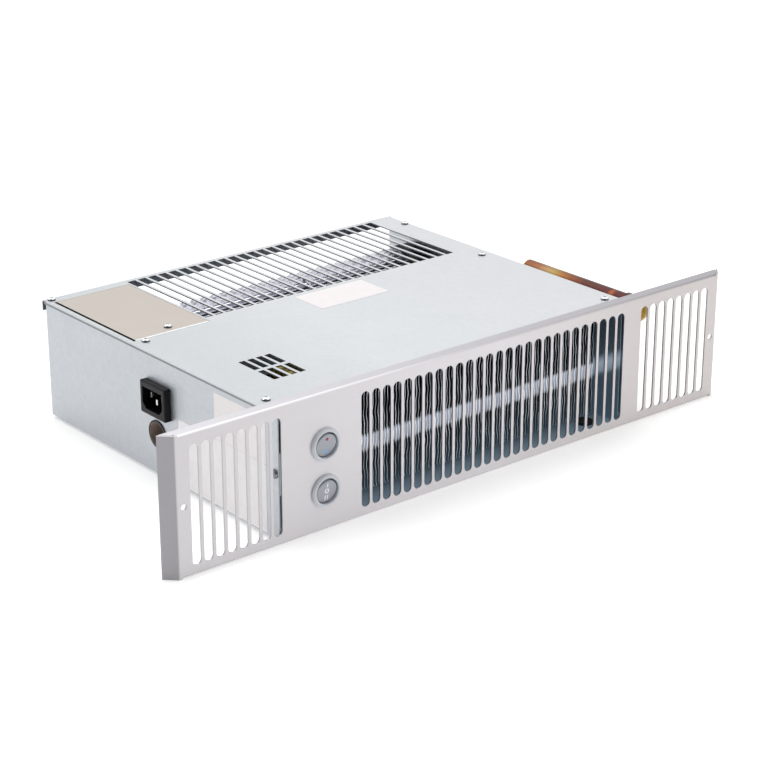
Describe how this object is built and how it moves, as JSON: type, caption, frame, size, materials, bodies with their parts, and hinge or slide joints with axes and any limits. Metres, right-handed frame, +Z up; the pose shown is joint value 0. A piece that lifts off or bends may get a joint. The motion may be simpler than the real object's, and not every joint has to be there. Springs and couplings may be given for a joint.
{
  "type": "plinth heater",
  "caption": "Low hydronic kick-space fan heater: slotted grille plate, flat metal case, finned coil, crossflow fan, two rocker switches and two copper tails.",
  "frame": {"origin": "centre of the footprint on the floor", "axes": "+X to the right seen from the front, +Y from the grille to the back, +Z up"},
  "size_m": [0.5168, 0.2949, 0.1],
  "materials": {
    "grille_steel": "brushed satin",
    "galvanised_case": "galvanised sheet",
    "galvanised_lid": "light galvanised sheet",
    "cover_steel": "satin, warm",
    "duct_steel": "galvanised sheet",
    "screw_steel": "zinc plated",
    "shaft_steel": "ground",
    "fin_aluminium": "mill finish",
    "impeller_aluminium": "mill finish",
    "copper": "copper tube, tarnished",
    "brass": "plain brass",
    "pin_metal": "nickel plated",
    "black_rubber": "matt",
    "black_plastic": "moulded, satin",
    "liner_plastic": "moulded, matt",
    "switch_plastic": "moulded, satin",
    "rocker_plastic": "moulded, satin",
    "motor_paint": "black, satin",
    "laminations": "stacked sheet",
    "winding_wire": "enamelled wire under tape",
    "terminal_nylon": "moulded, natural"
  },
  "bodies": {
    "case": {"front_grille": "grille_steel", "casing": "galvanised_case", "side_panel": "galvanised_case", "lid_rail": "galvanised_case", "grille_bracket_left": "galvanised_case", "grille_bracket_right": "galvanised_case", "partition": "galvanised_case", "transformer_bracket": "galvanised_case", "lid": "galvanised_lid", "access_cover": "cover_steel", "duct_wall": "duct_steel", "fan_end_plate": "duct_steel", "fan_scroll": "duct_steel", "fan_tongue": "duct_steel", "coil_end_plate_left": "duct_steel", "coil_end_plate_right": "duct_steel", "bracket_screws": "screw_steel", "lid_screws": "screw_steel", "cover_screw": "screw_steel", "coil_screws": "screw_steel", "thermostat_clip": "screw_steel", "fin_pack": "fin_aluminium", "coil_hairpins": "copper", "return_bends": "copper", "flow_stub": "copper", "flow_tail": "copper", "return_stub": "copper", "return_tail": "copper", "flow_elbow": "brass", "return_elbow": "brass", "bearing_bush": "brass", "motor_bushes": "brass", "switch_terminals": "brass", "terminal_screws": "brass", "inlet_pins": "pin_metal", "feet": "black_rubber", "base_grommet": "black_rubber", "pipe_grommets": "black_rubber", "bearing_grommet": "black_rubber", "motor_mounts": "black_rubber", "inlet_body": "black_plastic", "low_limit_thermostat": "black_plastic", "cable_liner": "liner_plastic", "heat_switch_body": "switch_plastic", "fan_switch_body": "switch_plastic", "motor_can": "motor_paint", "motor_cap": "motor_paint", "motor_stator": "laminations", "transformer_core": "laminations", "motor_windings": "winding_wire", "transformer_coil": "winding_wire", "terminal_block": "terminal_nylon"},
    "fan": {"impeller": "impeller_aluminium", "stub_shaft": "shaft_steel", "motor_rotor": "shaft_steel", "motor_shaft": "shaft_steel"},
    "heat_rocker": {"heat_rocker": "rocker_plastic"},
    "fan_rocker": {"fan_rocker": "rocker_plastic"}
  },
  "joints": [
    {"name": "fan_spin", "type": "hinge", "parent": "case", "child": "fan", "pos_m": [0, 0.10521, 0.05], "axis": [1, 0, 0], "continuous": true},
    {"name": "heat_rocker_tilt", "type": "hinge", "parent": "case", "child": "heat_rocker", "pos_m": [-0.131, -0.14279, 0.0625], "axis": [-1, 0, 0], "range_deg": [0, 20]},
    {"name": "fan_rocker_tilt", "type": "hinge", "parent": "case", "child": "fan_rocker", "pos_m": [-0.131, -0.14279, 0.0289], "axis": [-1, 0, 0], "range_deg": [0, 20]}
  ]
}
